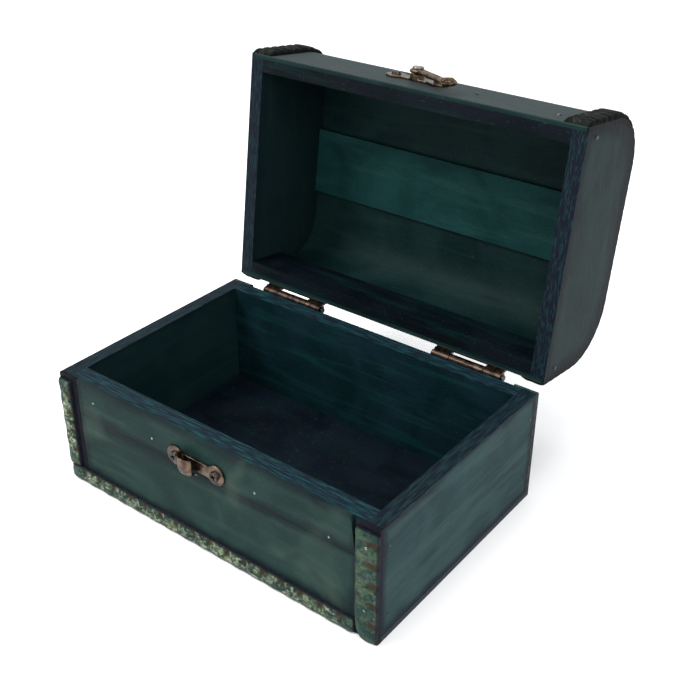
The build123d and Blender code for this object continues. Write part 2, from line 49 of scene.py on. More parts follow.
class Value:
    """A shader socket that takes part in plain arithmetic."""

    def __init__(self, finish, socket):
        self.finish = finish
        self.socket = socket

    def maths(self, operation, *terms, clamp=False):
        settings = {"operation": operation, "use_clamp": clamp}
        links = {index: term for index, term in enumerate(terms)}
        return self.finish.node("ShaderNodeMath", settings, links)

    def __add__(self, other):
        return self.maths("ADD", self, other)

    def __radd__(self, other):
        return self.maths("ADD", other, self)

    def __sub__(self, other):
        return self.maths("SUBTRACT", self, other)

    def __rsub__(self, other):
        return self.maths("SUBTRACT", other, self)

    def __mul__(self, other):
        return self.maths("MULTIPLY", self, other)

    def __rmul__(self, other):
        return self.maths("MULTIPLY", other, self)

    def __truediv__(self, other):
        return self.maths("DIVIDE", self, other)

    def __rtruediv__(self, other):
        return self.maths("DIVIDE", other, self)

    def __neg__(self):
        return self.maths("MULTIPLY", self, -1.0)

    def size(self):
        return self.maths("ABSOLUTE", self)

    def sine(self):
        return self.maths("SINE", self)

    def least(self, other):
        return self.maths("MINIMUM", self, other)

    def most(self, other):
        return self.maths("MAXIMUM", self, other)

    def between(self, low, high):
        """0 at low and below, 1 at high and above, smooth in the middle."""
        settings = {"interpolation_type": "SMOOTHSTEP"}
        links = {"Value": self, "From Min": low, "From Max": high}
        return self.finish.node("ShaderNodeMapRange", settings, links)


class Finish:
    """A material whose shader is written as expressions."""

    def __init__(self, name, roughness, metallic=0.0, coat=0.0):
        self.material = bpy.data.materials.new(name)
        self.material.use_nodes = True
        self.tree = self.material.node_tree
        self.shader = self.tree.nodes["Principled BSDF"]
        self.shader.inputs["Roughness"].default_value = roughness
        self.shader.inputs["Metallic"].default_value = metallic
        self.shader.inputs["Coat Weight"].default_value = coat
        place = self.node("ShaderNodeTexCoord", {}, {}, "Object")
        self.place = place
        self.x = self.node("ShaderNodeSeparateXYZ", {}, {0: place}, "X")
        self.y = self.node("ShaderNodeSeparateXYZ", {}, {0: place}, "Y")
        self.z = self.node("ShaderNodeSeparateXYZ", {}, {0: place}, "Z")

    def node(self, kind, settings, links, output=0):
        made = self.tree.nodes.new(kind)
        for name, setting in settings.items():
            setattr(made, name, setting)
        for name, value in links.items():
            if isinstance(value, Value):
                self.tree.links.new(value.socket, made.inputs[name])
            else:
                made.inputs[name].default_value = value
        return Value(self, made.outputs[output])

    def stretched(self, along_x, along_y, along_z):
        settings = {"operation": "MULTIPLY"}
        links = {0: self.place, 1: (along_x, along_y, along_z)}
        return self.node("ShaderNodeVectorMath", settings, links)

    def noise(self, place, scale, detail=4.0, distortion=0.0):
        links = {"Vector": place, "Scale": scale, "Detail": detail, "Distortion": distortion}
        return self.node("ShaderNodeTexNoise", {}, links)

    def cells(self, place, scale, feature="F1"):
        links = {"Vector": place, "Scale": scale}
        return self.node("ShaderNodeTexVoronoi", {"feature": feature}, links, "Distance")

    def mix(self, share, first, second):
        settings = {"data_type": "RGBA"}
        links = {0: share, 6: first, 7: second}
        return self.node("ShaderNodeMix", settings, links, 2)

    def paint(self, colour=None, roughness=None, height=None, height_size=0.0002):
        if colour is not None:
            self.tree.links.new(colour.socket, self.shader.inputs["Base Color"])
        if roughness is not None:
            self.tree.links.new(roughness.socket, self.shader.inputs["Roughness"])
        if height is not None:
            links = {"Height": height, "Distance": height_size, "Strength": 1.0}
            bump = self.node("ShaderNodeBump", {}, links)
            self.tree.links.new(bump.socket, self.shader.inputs["Normal"])
        return self.material


def dress(name, material, edge=0.0):
    """Gives a CAD node its material and softens its edges."""
    piece = nodes[name]
    piece.data.materials.clear()
    piece.data.materials.append(material)
    if edge:
        soft = piece.modifiers.new("soft_edges", "BEVEL")
        soft.width = edge
        soft.segments = 2
        soft.limit_method = "ANGLE"
        soft.angle_limit = math.radians(40)
        soft.use_clamp_overlap = True
    return piece


def stained(name, dark, middle, streak, along="X", shift=0.0, streak_share=0.5):
    """Wood under a thin mottled stain: soft clouds, long brush streaks and a fine grain."""
    finish = Finish(name, 0.5)
    finish.shader.inputs["Specular IOR Level"].default_value = 0.06
    stretch = {
        "X": (6.0, 60.0, 60.0),
        "Y": (60.0, 6.0, 60.0),
        "Z": (60.0, 60.0, 6.0),
    }[along]
    grain_place = finish.stretched(*stretch)
    shifted = finish.node(
        "ShaderNodeVectorMath", {"operation": "ADD"}, {0: finish.place, 1: (shift, shift, shift)}
    )
    clouds = finish.noise(shifted, 38.0, 5.0, 0.6)
    streaks = finish.noise(grain_place, 3.4, 5.0, 0.4)
    grain = finish.noise(grain_place, 26.0, 6.0, 0.1)
    specks = finish.noise(finish.place, 900.0, 2.0)
    base = finish.mix(clouds.between(0.36, 0.64), dark, middle)
    base = finish.mix(streaks.between(0.48, 0.7) * streak_share, base, streak)
    base = finish.mix(grain.between(0.52, 0.75) * 0.4, base, dark)
    base = finish.mix(specks.between(0.64, 0.74) * 0.16, base, (0.06, 0.085, 0.08, 1.0))
    finish.colour = base
    finish.clouds = clouds
    finish.rough = 0.40 + clouds * 0.2 + grain * 0.14
    finish.height = grain * 0.6 + streaks * 0.3 + specks * 0.25
    return finish


def darkened(finish, distance, reach, colour, share=0.75):
    """Blends towards a darker colour within a ragged band along an edge."""
    ragged = distance + (finish.clouds - 0.5) * (reach * 1.6)
    band = 1.0 - ragged.between(reach * 0.15, reach)
    finish.colour = finish.mix(band * share, finish.colour, colour)


def done(finish):
    return finish.paint(finish.colour, finish.rough, finish.height, 0.0002)


def face_distance(finish, name, *axes):
    """The distance to the nearest border of a board's box, over the named axes."""
    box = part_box(name)
    nearest = None
    for axis in axes:
        index = "XYZ".index(axis)
        coordinate = (finish.x, finish.y, finish.z)[index]
        inside = (coordinate - box[0][index]).least(box[1][index] - coordinate)
        nearest = inside if nearest is None else nearest.least(inside)
    return nearest


navy = (0.002, 0.003, 0.007, 1.0)

bottom_stain = stained(
    "bottom_stain",
    (0.0010, 0.0026, 0.0054, 1.0),
    (0.0024, 0.0056, 0.0100, 1.0),
    (0.0010, 0.0079, 0.0085, 1.0),
    shift=0.7,
)
board_sides = 1.0 - face_distance(bottom_stain, "bottom_board", "X").between(0.0001, 0.0004)
board_foot = bottom_stain.z.between(0.0022, 0.0028)
bottom_stain.colour = bottom_stain.mix(
    board_sides * (1.0 - board_foot) * 0.8, bottom_stain.colour, (0.030, 0.034, 0.046, 1.0)
)
dress("bottom_board", done(bottom_stain), 0.0003)


def side_board(name, inward):
    """Lighter slate outside; nearly black teal on the face inside, which is painted shade of the chest's interior."""
    finish = stained(
        "stain_" + name,
        (0.0080, 0.0245, 0.0281, 1.0),
        (0.0171, 0.0409, 0.0442, 1.0),
        (0.0262, 0.0518, 0.0523, 1.0),
        along="Y",
        shift=0.2,
        streak_share=0.6,
    )
    darkened(finish, face_distance(finish, name, "Y", "Z"), 0.0035, navy, 0.7)
    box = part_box(name)
    face = box[0][0] if inward > 0 else box[1][0]
    off_outside = (finish.x - face) * inward
    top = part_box(name)[1][2]
    on_rim = finish.z.between(top - 0.0006, top - 0.0002)
    # Painted shade: the inner face is darkened to nearly black teal to stand in for the shade inside the chest.
    inner = off_outside.between(0.0058, 0.0062) * (1.0 - on_rim)
    finish.colour = finish.mix(inner * 0.8, finish.colour, (0.0014, 0.0085, 0.0095, 1.0))
    rim_streak = finish.noise(finish.stretched(120.0, 9.0, 120.0), 14.0, 5.0)
    rim_colour = finish.mix(
        rim_streak.between(0.44, 0.62), (0.003, 0.0055, 0.010, 1.0), (0.008, 0.023, 0.026, 1.0)
    )
    finish.colour = finish.mix(on_rim * 0.85, finish.colour, rim_colour)
    return done(finish)


dress("left_wall", side_board("left_wall", 1.0), 0.0004)
dress("right_wall", side_board("right_wall", -1.0), 0.0004)

wall_stain = stained(
    "wall_stain",
    (0.0018, 0.0118, 0.0142, 1.0),
    (0.0048, 0.0176, 0.0246, 1.0),
    (0.0059, 0.0392, 0.0397, 1.0),
    shift=0.4,
    streak_share=0.5,
)
wall_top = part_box("front_wall")[1][2]
wall_rim = wall_stain.z.between(wall_top - 0.0006, wall_top - 0.0002)
rim_streaks = wall_stain.noise(wall_stain.stretched(9.0, 120.0, 120.0), 14.0, 5.0)
rim_colours = wall_stain.mix(
    rim_streaks.between(0.47, 0.64), (0.005, 0.008, 0.015, 1.0), (0.006, 0.044, 0.046, 1.0)
)
wall_stain.colour = wall_stain.mix(wall_rim * 0.9, wall_stain.colour, rim_colours)
wall_finish = done(wall_stain)
dress("front_wall", wall_finish, 0.0004)
dress("back_wall", wall_finish, 0.0004)

# Planks and laths on the front.
# Two thin planks with a fine seam between them, in a frame of darker laths, bradded to the wall.


def plank(name, shift):
    finish = stained(
        "stain_" + name,
        (0.0056, 0.0196, 0.0176, 1.0),
        (0.0122, 0.0317, 0.0278, 1.0),
        (0.0223, 0.0468, 0.0366, 1.0),
        shift=shift,
    )
    darkened(finish, face_distance(finish, name, "X", "Z"), 0.0040, navy, 0.6)
    worn = finish.noise(finish.place, 24.0, 3.0, 0.5).between(0.60, 0.72)
    finish.colour = finish.mix(worn * 0.35, finish.colour, (0.055, 0.085, 0.066, 1.0))
    return done(finish)


dress("front_plank_upper", plank("front_plank_upper", 0.9), 0.0003)
dress("front_plank_lower", plank("front_plank_lower", 0.75), 0.0003)

lath_stain = stained(
    "lath_stain",
    (0.0015, 0.0020, 0.0045, 1.0),
    (0.0060, 0.0055, 0.0110, 1.0),
    (0.0030, 0.0110, 0.0120, 1.0),
    along="Z",
    shift=0.1,
)
lath_finish = done(lath_stain)
for lath in ("front_lath_left", "front_lath_right", "front_lath_bottom"):
    dress(lath, lath_finish, 0.0003)

# Brads in the walls, planks, trims and lid.
# Small bright steel pins with round heads, driven nearly flush, a little tarnished.
brad = Finish("brad_steel", 0.3, metallic=1.0)
tarnish = brad.noise(brad.place, 1400.0, 3.0)
brad_colour = brad.mix(
    tarnish.between(0.4, 0.65), (0.10, 0.10, 0.10, 1.0), (0.42, 0.44, 0.43, 1.0)
)
brad_metal = brad.paint(brad_colour, 0.25 + tarnish * 0.25)
blackened = Finish("blackened_brad", 0.45, metallic=1.0)
soot = blackened.noise(blackened.place, 1100.0, 3.0)
soot_colour = blackened.mix(
    soot.between(0.4, 0.7), (0.02, 0.02, 0.022, 1.0), (0.10, 0.10, 0.10, 1.0)
)
black_metal = blackened.paint(soot_colour, 0.35 + soot * 0.25)


def domed_heads(name, material, body, radius=0.00052, rise=0.00034):
    """Puts a small domed head on each brad of a node, in place of its plain heads."""
    source = nodes[name]
    corners = [vertex.co.copy() for vertex in source.data.vertices]
    groups = []
    for corner in corners:
        near = [group for group in groups if (group[0] - corner).length < 0.0135]
        if near:
            near[0].append(corner)
        else:
            groups.append([corner])
    vertices, faces = [], []
    for group in groups:
        spread = [max(c[i] for c in group) - min(c[i] for c in group) for i in range(3)]
        run = spread.index(max(spread))
        low = min(c[run] for c in group)
        high = max(c[run] for c in group)
        wide_low = len([c for c in group if c[run] < low + 0.0006])
        wide_high = len([c for c in group if c[run] > high - 0.0006])
        head, way = (high, -1.0) if wide_high > wide_low else (low, 1.0)
        centre = Vector([(max(c[i] for c in group) + min(c[i] for c in group)) / 2 for i in range(3)])
        centre[run] = head + way * 0.0005
        first = len(vertices)
        rings, steps = 5, 20
        sides = [i for i in range(3) if i != run]
        for ring in range(rings + 1):
            lean = math.pi / 2 * ring / rings
            for step in range(steps):
                angle = 2 * math.pi * step / steps
                point = centre.copy()
                point[sides[0]] += radius * math.cos(lean) * math.cos(angle)
                point[sides[1]] += radius * math.cos(lean) * math.sin(angle)
                point[run] -= way * rise * math.sin(lean)
                vertices.append(point)
        for ring in range(rings):
            for step in range(steps):
                after = (step + 1) % steps
                faces.append(
                    (
                        first + ring * steps + step,
                        first + ring * steps + after,
                        first + (ring + 1) * steps + after,
                        first + (ring + 1) * steps + step,
                    )
                )
    mesh = bpy.data.meshes.new(name + "_heads")
    mesh.from_pydata(vertices, [], faces)
    mesh.validate()
    for polygon in mesh.polygons:
        polygon.use_smooth = True
    mesh.materials.append(material)
    heads = bpy.data.objects.new(name + "_heads", mesh)
    bpy.context.collection.objects.link(heads)
    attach(heads, body)
    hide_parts(name)


domed_heads("wall_brads", black_metal, "base")
domed_heads("plank_brads", brad_metal, "base")
domed_heads("trim_tacks", brad_metal, "base")
dress("lid_brads", black_metal)

# Leather-look trim strips on the base corners and the foot of the front.
# Embossed imitation leather, rubbed gold on green, with a stitched notch every nine millimetres.


def embossed(name, run, across, gilt=0.6, pitch=0.009):
    """Imitation leather, rubbed gold on green, with pressed notches along one edge."""
    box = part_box(name)
    finish = Finish("leather_" + name, 0.5)
    finish.shader.inputs["Specular IOR Level"].default_value = 0.10
    along = {"X": finish.x, "Y": finish.y, "Z": finish.z}[run]
    side = {"X": finish.x, "Y": finish.y, "Z": finish.z}[across]
    start = box[0]["XYZ".index(run)]
    low, high = box[0]["XYZ".index(across)], box[1]["XYZ".index(across)]
    front = box[0][1]
    crumple = finish.noise(finish.place, 520.0, 6.0, 1.0)
    blotch = finish.noise(finish.place, 170.0, 4.0, 0.8)
    shaken = (along - start) + (crumple - 0.5) * 0.0035
    wave = (shaken * (2 * math.pi / pitch) + math.pi / 2).sine()
    share = (side - low) / (high - low) + (blotch - 0.5) * 0.5
    notch = wave.between(0.2, 1.0) * share.between(0.36, 0.80)
    colour = finish.mix(
        blotch.between(0.42, 0.62), (0.004, 0.028, 0.024, 1.0), (0.030, 0.058, 0.034, 1.0)
    )
    colour = finish.mix((1.0 - crumple.between(0.34, 0.46)) * 0.8, colour, (0.008, 0.009, 0.006, 1.0))
    colour = finish.mix(notch * 0.95, colour, (0.026, 0.015, 0.006, 1.0))
    ends = ((along - start).least(box[1]["XYZ".index(run)] - along)).between(0.004, 0.009)
    rubbed = crumple.between(0.44, 0.70) * (1.0 - notch) * (0.2 + ends * 0.8)
    colour = finish.mix(rubbed * gilt, colour, (0.27, 0.30, 0.19, 1.0))
    # Near-black borders and dark sides of the strip: partly painted contact shadow where the strip meets the wall,
    # partly the strip's dark rolled edge.
    edge = (side - low).least(high - side)
    colour = finish.mix((1.0 - edge.between(0.0002, 0.0009)) * 0.9, colour, (0.004, 0.005, 0.010, 1.0))
    sides = (finish.y - front).between(0.0008, 0.0014)
    colour = finish.mix(sides * 0.9, colour, (0.004, 0.005, 0.010, 1.0))
    height = crumple * 1.1 - notch * 0.4
    return finish.paint(colour, 0.34 + blotch * 0.3, height, 0.0006)




def relief(name, place, length, width, height, step, columns):
    """Meshes a strip from its height over the ground, falling to nothing at its borders."""
    rows = int(length / step)
    along = [length * (1 - math.cos(math.pi * i / 8)) / 60 for i in range(5)]
    inner = [along[-1] + (length - 2 * along[-1]) * i / rows for i in range(1, rows)]
    runs = along + inner + [length - distance for distance in reversed(along)]
    wides = [width * (1 - math.cos(math.pi * j / columns)) / 2 for j in range(columns + 1)]
    vertices = [place(run, wide, height(run, wide)) for run in runs for wide in wides]
    span = columns + 1
    faces = [
        (i * span + j, i * span + j + 1, (i + 1) * span + j + 1, (i + 1) * span + j)
        for i in range(len(runs) - 1)
        for j in range(columns)
    ]
    mesh = bpy.data.meshes.new(name)
    mesh.from_pydata(vertices, [], faces)
    mesh.validate()
    for polygon in mesh.polygons:
        polygon.use_smooth = True
    made = bpy.data.objects.new(name, mesh)
    bpy.context.collection.objects.link(made)
    return made


def pillow(distance, size, steep=5.0):
    """1 in the middle of a strip and 0 at its borders, with rounded shoulders."""
    off = abs(2 * distance / size - 1)
    return math.sqrt(max(0.0, 1 - off**steep))


def front_trim(name, run, gilt, thickness=0.0021, pitch=0.009):
    """One trim strip of the front, pillowed, with pressed notches along one edge."""
    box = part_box(name)
    back = box[1][1]
    run_index, wide_index = (2, 0) if run == "Z" else (0, 2)
    length = box[1][run_index] - box[0][run_index]
    width = box[1][wide_index] - box[0][wide_index]

    def place(along, across, height):
        point = [0.0, back - height, 0.0]
        point[run_index] = box[0][run_index] + along
        point[wide_index] = box[0][wide_index] + across
        if name == "front_trim_right" and along < 0.011:
            room = math.sqrt(max(0.0, 1 - (1 - along / 0.011) ** 2))
            left = 0.004 * (1 - room)
            point[0] = box[0][0] + left + across * (width - left) / width
        return point

    def height(along, across):
        beat = 0.5 + 0.5 * math.cos(2 * math.pi * along / pitch)
        share = across / width
        edge = 1 - abs(share - 0.78) / 0.22 if share > 0.56 else 0.0
        press = 0.34 * max(0.0, beat - 0.55) / 0.45 * max(0.0, edge)
        swell = 0.92 + 0.08 * math.cos(2 * math.pi * along / pitch + math.pi)
        ends = pillow(along, length, 60.0)
        return thickness * pillow(across, width) * ends * swell * (1 - press)

    made = relief(name + "_relief", place, length, width, height, 0.0006, 16)
    made.data.materials.append(embossed(name, run, "X" if run == "Z" else "Z", gilt))
    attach(made, "base")
    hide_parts(name)


front_trim("front_trim_left", "Z", 1.0)
front_trim("front_trim_right", "Z", 0.14)
front_trim("front_trim_bottom", "X", 0.75)
dress("back_trim_left", embossed("back_trim_left", "Z", "X"), 0.0004)
dress("back_trim_right", embossed("back_trim_right", "Z", "X"), 0.0004)

# Catch plate with its hood, the latch plate, the swing arm and the hinges.
# Pressed steel plated antique bronze: dark in the hollows, rubbed bright where hands touch.


def bronze(name, dark, bright, wear):
    finish = Finish(name, 0.35, metallic=1.0)
    smoke = finish.noise(finish.place, 260.0, 5.0, 0.5)
    scratch = finish.noise(finish.stretched(1.0, 6.0, 6.0), 500.0, 4.0)
    pits = finish.noise(finish.place, 1600.0, 2.0)
    colour = finish.mix(smoke.between(0.35, 0.65) * wear, dark, bright)
    colour = finish.mix(scratch.between(0.6, 0.72) * 0.5, colour, bright)
    colour = finish.mix(pits.between(0.62, 0.72) * 0.6, colour, (0.02, 0.016, 0.014, 1.0))
    return finish.paint(colour, 0.24 + smoke * 0.22, pits * 0.5 + scratch * 0.3, 0.00004)


plate_bronze = bronze("plate_bronze", (0.040, 0.027, 0.021, 1.0), (0.20, 0.14, 0.095, 1.0), 0.6)
arm_bronze = bronze("arm_bronze", (0.045, 0.030, 0.022, 1.0), (0.26, 0.175, 0.085, 1.0), 0.65)
screw_bronze = bronze("screw_bronze", (0.014, 0.012, 0.012, 1.0), (0.095, 0.083, 0.078, 1.0), 0.6)
hinge_bronze = bronze("hinge_bronze", (0.016, 0.011, 0.009, 1.0), (0.085, 0.058, 0.040, 1.0), 0.6)
latch_turn = math.radians(97.9)
arm_turn = math.radians(29.0)


def on_latch(along, aside, out):
    """A place by the swing arm's own directions, in metres, with the lid open."""
    x = -0.0042 + along * math.cos(arm_turn) + aside * math.sin(arm_turn)
    off_z = 0.06695 - along * math.sin(arm_turn) + aside * math.cos(arm_turn) - 0.0499
    off_y = -out - 0.0541
    y = off_y * math.cos(latch_turn) + off_z * math.sin(latch_turn) + 0.0541
    z = -off_y * math.sin(latch_turn) + off_z * math.cos(latch_turn) + 0.0499
    return Vector((x, y, z))


def rod(vertices, faces, start, end, radius, flat=1.0, steps=24):
    """Adds a rod with rounded ends to a mesh's lists, flattened towards the lid."""
    run = Vector(end) - Vector(start)
    length = run.length
    way = run.normalized()
    up = Vector((0.0, 0.0, 1.0))
    aside = way.cross(up).normalized()
    first = len(vertices)
    leans = [math.pi / 2 * i / 6 for i in range(7)]
    rings = [(-radius * math.cos(t), radius * math.sin(t)) for t in leans]
    rings += [(length + radius * math.cos(t), radius * math.sin(t)) for t in reversed(leans)]
    for distance, reach in rings:
        reach = max(reach, 0.00002)
        for step in range(steps):
            angle = 2 * math.pi * step / steps
            point = Vector(start) + way * distance + aside * reach * math.cos(angle)
            point += up * reach * flat * math.sin(angle)
            vertices.append(on_latch(point.x, point.y, point.z))
    for ring in range(len(rings) - 1):
        for step in range(steps):
            after = (step + 1) % steps
            low, high = first + ring * steps, first + (ring + 1) * steps
            faces.append((low + step, low + after, high + after, high + step))
    faces.append([first + step for step in reversed(range(steps))])
    last = first + (len(rings) - 1) * steps
    faces.append([last + step for step in range(steps)])


arm_inner = min(
    -(
        (vertex.co.y - 0.0541) * math.cos(latch_turn)
        - (vertex.co.z - 0.0499) * math.sin(latch_turn)
        + 0.0541
    )
    for vertex in nodes["latch_arm"].data.vertices
)
arm_vertices, arm_faces = [], []
for ring in range(12):
    angle = 2 * math.pi * ring / 12
    angle_after = 2 * math.pi * (ring + 1) / 12
    rod(
        arm_vertices,
        arm_faces,
        (0.00255 * math.cos(angle), 0.00255 * math.sin(angle), arm_inner + 0.0008),
        (0.00255 * math.cos(angle_after), 0.00255 * math.sin(angle_after), arm_inner + 0.0008),
        0.00095,
        0.84,
        16,
    )
for side in (-1.0, 1.0):
    rod(
        arm_vertices,
        arm_faces,
        (0.0028, side * 0.00105, arm_inner + 0.00105),
        (0.0232, side * 0.00105, arm_inner + 0.00105),
        0.00098,
        1.0,
        16,
    )
rod(arm_vertices, arm_faces, (0.0196, 0, arm_inner + 0.0010), (0.0240, 0, arm_inner + 0.0011), 0.0015, 0.7)
rod(arm_vertices, arm_faces, (0.0262, 0.0003, arm_inner + 0.00158), (0.0264, -0.0003, arm_inner + 0.00158), 0.0029, 0.53)
rod(arm_vertices, arm_faces, (0.02645, 0.0006, arm_inner + 0.00178), (0.02645, -0.0023, arm_inner + 0.00178), 0.00174)
arm_mesh = bpy.data.meshes.new("latch_arm_cast")
arm_mesh.from_pydata([tuple(v) for v in arm_vertices], [], arm_faces)
arm_mesh.validate()
arm = bpy.data.objects.new("latch_arm_cast", arm_mesh)
bpy.context.collection.objects.link(arm)
melt = arm.modifiers.new("melt", "REMESH")
melt.mode = "VOXEL"
melt.voxel_size = 0.00016
melt.use_smooth_shade = True
calm = arm.modifiers.new("calm", "SMOOTH")
calm.factor = 0.5
calm.iterations = 5
arm_mesh.materials.append(arm_bronze)
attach(arm, "latch")
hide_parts("latch_arm")

head_inner = arm_inner + 0.0015
head_vertices, head_faces = [], []
profile = [
    (0.0, 0.00100),
    (0.0012, 0.00104),
    (0.0019, 0.00112),
    (0.00222, 0.00112),
    (0.00236, 0.00102),
    (0.00242, 0.00085),
    (0.00242, 0.00030),
    (0.00235, 0.00018),
    (0.0011, 0.00018),
    (0.0011, -0.0036),
]
for reach, out in profile:
    for step in range(40):
        angle = 2 * math.pi * step / 40
        head_vertices.append(
            tuple(
                on_latch(
                    max(reach, 0.00001) * math.cos(angle),
                    max(reach, 0.00001) * math.sin(angle),
                    head_inner + out,
                )
            )
        )
for ring in range(len(profile) - 1):
    for step in range(40):
        after = (step + 1) % 40
        low, high = ring * 40, (ring + 1) * 40
        head_faces.append((low + step, low + after, high + after, high + step))
head_mesh = bpy.data.meshes.new("latch_rivet_head")
head_mesh.from_pydata(head_vertices, [], head_faces)
head_mesh.validate()
for polygon in head_mesh.polygons:
    polygon.use_smooth = True
head = bpy.data.objects.new("latch_rivet_head", head_mesh)
bpy.context.collection.objects.link(head)
rivet_silver = bronze("rivet_silver", (0.10, 0.09, 0.085, 1.0), (0.42, 0.39, 0.36, 1.0), 0.8)
head_mesh.materials.append(rivet_silver)
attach(head, "lid")
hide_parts("latch_rivet")

pressed = dress("latch_plate", plate_bronze)
melt = pressed.modifiers.new("melt", "REMESH")
melt.mode = "VOXEL"
melt.voxel_size = 0.0002
melt.use_smooth_shade = True
calm = pressed.modifiers.new("calm", "SMOOTH")
calm.factor = 0.5
calm.iterations = 6

stamped = bpy.data.objects.new("catch_plate_stamped", nodes["catch_plate"].data.copy())
bpy.context.collection.objects.link(stamped)
melt = stamped.modifiers.new("melt", "REMESH")
melt.mode = "VOXEL"
melt.voxel_size = 0.0002
bpy.context.view_layer.update()
dense = bpy.data.meshes.new_from_object(stamped.evaluated_get(bpy.context.evaluated_depsgraph_get()))
stamped.modifiers.clear()
stamped.data = dense
hood_low, hood_middle, hood_half = 0.0350, -0.0067, 0.0043
face_y = -0.0535
for vertex in dense.vertices:
    x, y, z = vertex.co
    if y < face_y and abs(x - hood_middle) < hood_half + 0.0002:
        rise = min(1.0, (z - hood_low) / 0.0052)
        bowl = math.sqrt(max(0.0, 1 - 0.86 * (1 - rise) ** 2))
        bulge = math.sqrt(max(0.0, 1 - 0.75 * min(1.0, abs(x - hood_middle) / hood_half) ** 2))
        grip = min(1.0, (face_y - y) / 0.0003)
        vertex.co.x = x + (hood_middle + (x - hood_middle) * bowl - x) * grip
        vertex.co.y = face_y - (face_y - y) * bowl * (0.45 + 0.55 * bulge)
for polygon in dense.polygons:
    polygon.use_smooth = True
calm = stamped.modifiers.new("calm", "SMOOTH")
calm.factor = 0.5
calm.iterations = 8
dense.materials.clear()
dense.materials.append(plate_bronze)
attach(stamped, "base")
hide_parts("catch_plate")
dress("catch_screws", screw_bronze, 0.0001)
dress("latch_screws", screw_bronze, 0.0001)
for leaf in (
    "hinge_leaf_base_left",
    "hinge_leaf_base_right",
    "hinge_leaf_lid_left",
    "hinge_leaf_lid_right",
):
    dress(leaf, hinge_bronze, 0.0002)
for pin in ("hinge_pin_left", "hinge_pin_right", "hinge_base_brads", "hinge_lid_brads"):
    dress(pin, screw_bronze)

# Lid ends, rails, bent cover sheet and batten.
# End boards cut to the arch, rails between them, a thin bent sheet glued and bradded over all,
# and a batten glued along the crown inside.
turn = math.radians(97.9)
pin_y, pin_z = 0.0541, 0.0499


def closed_place(finish):
    """Where a point of the open lid is with the lid closed, as y and z."""
    off_y = finish.y - pin_y
    off_z = finish.z - pin_z
    closed_y = off_y * math.cos(turn) - off_z * math.sin(turn) + pin_y
    closed_z = off_y * math.sin(turn) + off_z * math.cos(turn) + pin_z
    return closed_y, closed_z


def arch_distance(closed_y, closed_z, half=0.04905, top=0.0974, radius=0.0202, rim=0.05145):
    """The distance inwards from the arched outline of the lid's end boards."""
    over_y = closed_y.size() - (half - radius)
    over_z = closed_z - (top - radius)
    corner_y = over_y.most(0.0)
    corner_z = over_z.most(0.0)
    length = corner_y.maths("SQRT", corner_y * corner_y + corner_z * corner_z)
    outline = radius - length - over_y.most(over_z).least(0.0)
    return outline.least(closed_z - rim)


def lid_end(name, outer_face, way):
    finish = stained(
        "stain_" + name,
        (0.0043, 0.0118, 0.0127, 1.0),
        (0.0110, 0.0216, 0.0221, 1.0),
        (0.0195, 0.0294, 0.0274, 1.0),
        along="Z",
        shift=0.6,
        streak_share=0.65,
    )
    closed_y, closed_z = closed_place(finish)
    distance = arch_distance(closed_y, closed_z)
    darkened(finish, distance, 0.0070, navy, 0.75)
    # Painted shade: the inner face of the end board is darkened to stand in for the shade inside the lid.
    inner = ((finish.x - outer_face) * way).between(0.0058, 0.0062)
    on_rim = 1.0 - closed_z.between(0.05165, 0.0520)
    finish.colour = finish.mix(
        inner * (1.0 - on_rim) * 0.8, finish.colour, (0.003, 0.011, 0.012, 1.0)
    )
    rim_streak = finish.noise(finish.stretched(120.0, 120.0, 9.0), 14.0, 5.0)
    rim_colour = finish.mix(
        rim_streak.between(0.46, 0.64), (0.004, 0.006, 0.012, 1.0), (0.007, 0.023, 0.027, 1.0)
    )
    finish.colour = finish.mix(on_rim * 0.9, finish.colour, rim_colour)
    return done(finish)


dress("lid_left_end", lid_end("lid_left_end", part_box("lid_left_end")[0][0], 1.0), 0.0004)
dress("lid_right_end", lid_end("lid_right_end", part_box("lid_right_end")[1][0], -1.0), 0.0004)

rail_stain = stained(
    "rail_stain",
    (0.0006, 0.0022, 0.0036, 1.0),
    (0.0022, 0.0047, 0.0077, 1.0),
    (0.0019, 0.0145, 0.0146, 1.0),
    shift=0.3,
    streak_share=0.6,
)
rail_finish = done(rail_stain)
dress("lid_front_rail", rail_finish, 0.0003)
dress("lid_back_rail", rail_finish, 0.0003)

cover_stain = stained(
    "cover_stain",
    (0.0024, 0.0121, 0.0125, 1.0),
    (0.0056, 0.0189, 0.0187, 1.0),
    (0.0088, 0.0270, 0.0250, 1.0),
    shift=0.5,
)
cover_y, cover_z = closed_place(cover_stain)
cover_depth = arch_distance(cover_y, cover_z, 0.05085, 0.0992, 0.022, 0.0)
# Painted sheen: the outer face of the cover is mixed towards a light grey to stand in for the reflection of the
# bright surroundings.
cover_outside_sheen = 1.0 - cover_depth.between(0.0003, 0.0006)
cover_stain.colour = cover_stain.mix(
    cover_outside_sheen * 0.5, cover_stain.colour, (0.036, 0.045, 0.046, 1.0)
)
# Painted shade: a near-black band at both ends of the cover stands in for the shade in the gap between the cover and
# the end boards.
cover_end_gap_shade = 1.0 - face_distance(cover_stain, "lid_cover", "X").between(0.0002, 0.0016)
cover_stain.colour = cover_stain.mix(cover_end_gap_shade * 0.9, cover_stain.colour, (0.001, 0.0015, 0.002, 1.0))
dress("lid_cover", done(cover_stain))

batten_stain = stained(
    "batten_stain",
    (0.0030, 0.0242, 0.0240, 1.0),
    (0.0065, 0.0387, 0.0372, 1.0),
    (0.0129, 0.0549, 0.0511, 1.0),
    shift=0.8,
)
dress("lid_batten", done(batten_stain), 0.0004)

# Straps of imitation leather over both ends of the lid.
# Dark olive, embossed like a rope along the edges, folded in at the rims and glued down.


